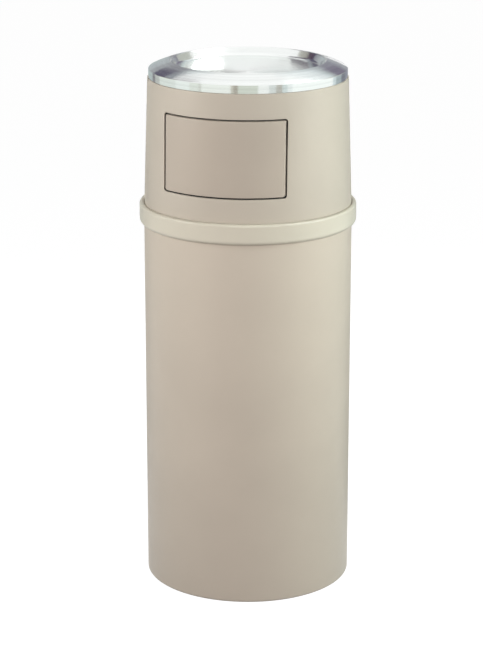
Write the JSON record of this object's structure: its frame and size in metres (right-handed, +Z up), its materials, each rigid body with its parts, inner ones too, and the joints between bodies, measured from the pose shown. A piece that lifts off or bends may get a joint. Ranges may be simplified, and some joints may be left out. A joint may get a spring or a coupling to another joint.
{
  "type": "dome top waste receptacle",
  "caption": "Straight round floor bin with a pale rim collar and a tapered lift-off hood that has a flush curved self-closing push door and a polished metal ash tray on top.",
  "frame": {"origin": "centre of the circle that the base ring makes on the floor", "axes": "+Z up along the receptacle's axis, -Y out through the middle of the push door, +X to the right of the person inside facing out of the door"},
  "size_m": [0.394, 0.394, 0.9674],
  "materials": {
    "body_plastic": "satin moulded beige",
    "hood_plastic": "satin moulded beige",
    "door_plastic": "satin moulded beige, a little darker",
    "collar_plastic": "satin moulded cream",
    "liner_plastic": "moulded grey",
    "tray_metal": "spun and polished",
    "hinge_steel": "zinc plated",
    "spring_steel": "bright drawn",
    "bush_nylon": "natural nylon",
    "bumper_rubber": "moulded black"
  },
  "bodies": {
    "container": {"container_shell": "body_plastic", "rim_collar": "collar_plastic"},
    "liner": {"rigid_liner": "liner_plastic"},
    "hood": {"hood_shell": "hood_plastic", "hinge_rod": "hinge_steel", "hinge_bracket_left": "hinge_steel", "hinge_bracket_right": "hinge_steel", "rod_clip_left": "spring_steel", "rod_clip_right": "spring_steel", "door_spring_left": "spring_steel", "door_spring_right": "spring_steel", "bracket_screw_left_1": "hinge_steel", "bracket_screw_left_2": "hinge_steel", "bracket_screw_right_1": "hinge_steel", "bracket_screw_right_2": "hinge_steel"},
    "door": {"door_panel": "door_plastic", "hinge_bush_left": "bush_nylon", "hinge_bush_right": "bush_nylon", "door_bumper_left": "bumper_rubber", "door_bumper_right": "bumper_rubber"},
    "ash_tray": {"ash_tray": "tray_metal"}
  },
  "joints": [
    {"name": "hood_lift", "type": "slide", "parent": "container", "child": "hood", "axis": [0, 0, 1], "range_m": [0, 1]},
    {"name": "liner_lift", "type": "slide", "parent": "container", "child": "liner", "axis": [0, 0, 1], "range_m": [0, 0.75]},
    {"name": "door_swing", "type": "hinge", "parent": "hood", "child": "door", "pos_m": [0, -0.11794, 0.9043], "axis": [1, 0, 0], "range_deg": [0, 70], "stiffness_Nm_per_rad": 0.35, "springref_deg": -20.05, "deforming": ["door_spring_left", "door_spring_right"]},
    {"name": "tray_lift", "type": "slide", "parent": "hood", "child": "ash_tray", "axis": [0, 0, 1], "range_m": [0, 0.12]}
  ],
  "couplings": [
    {"joint": "liner_lift", "follows": "hood_lift", "ratio": 0.75}
  ]
}
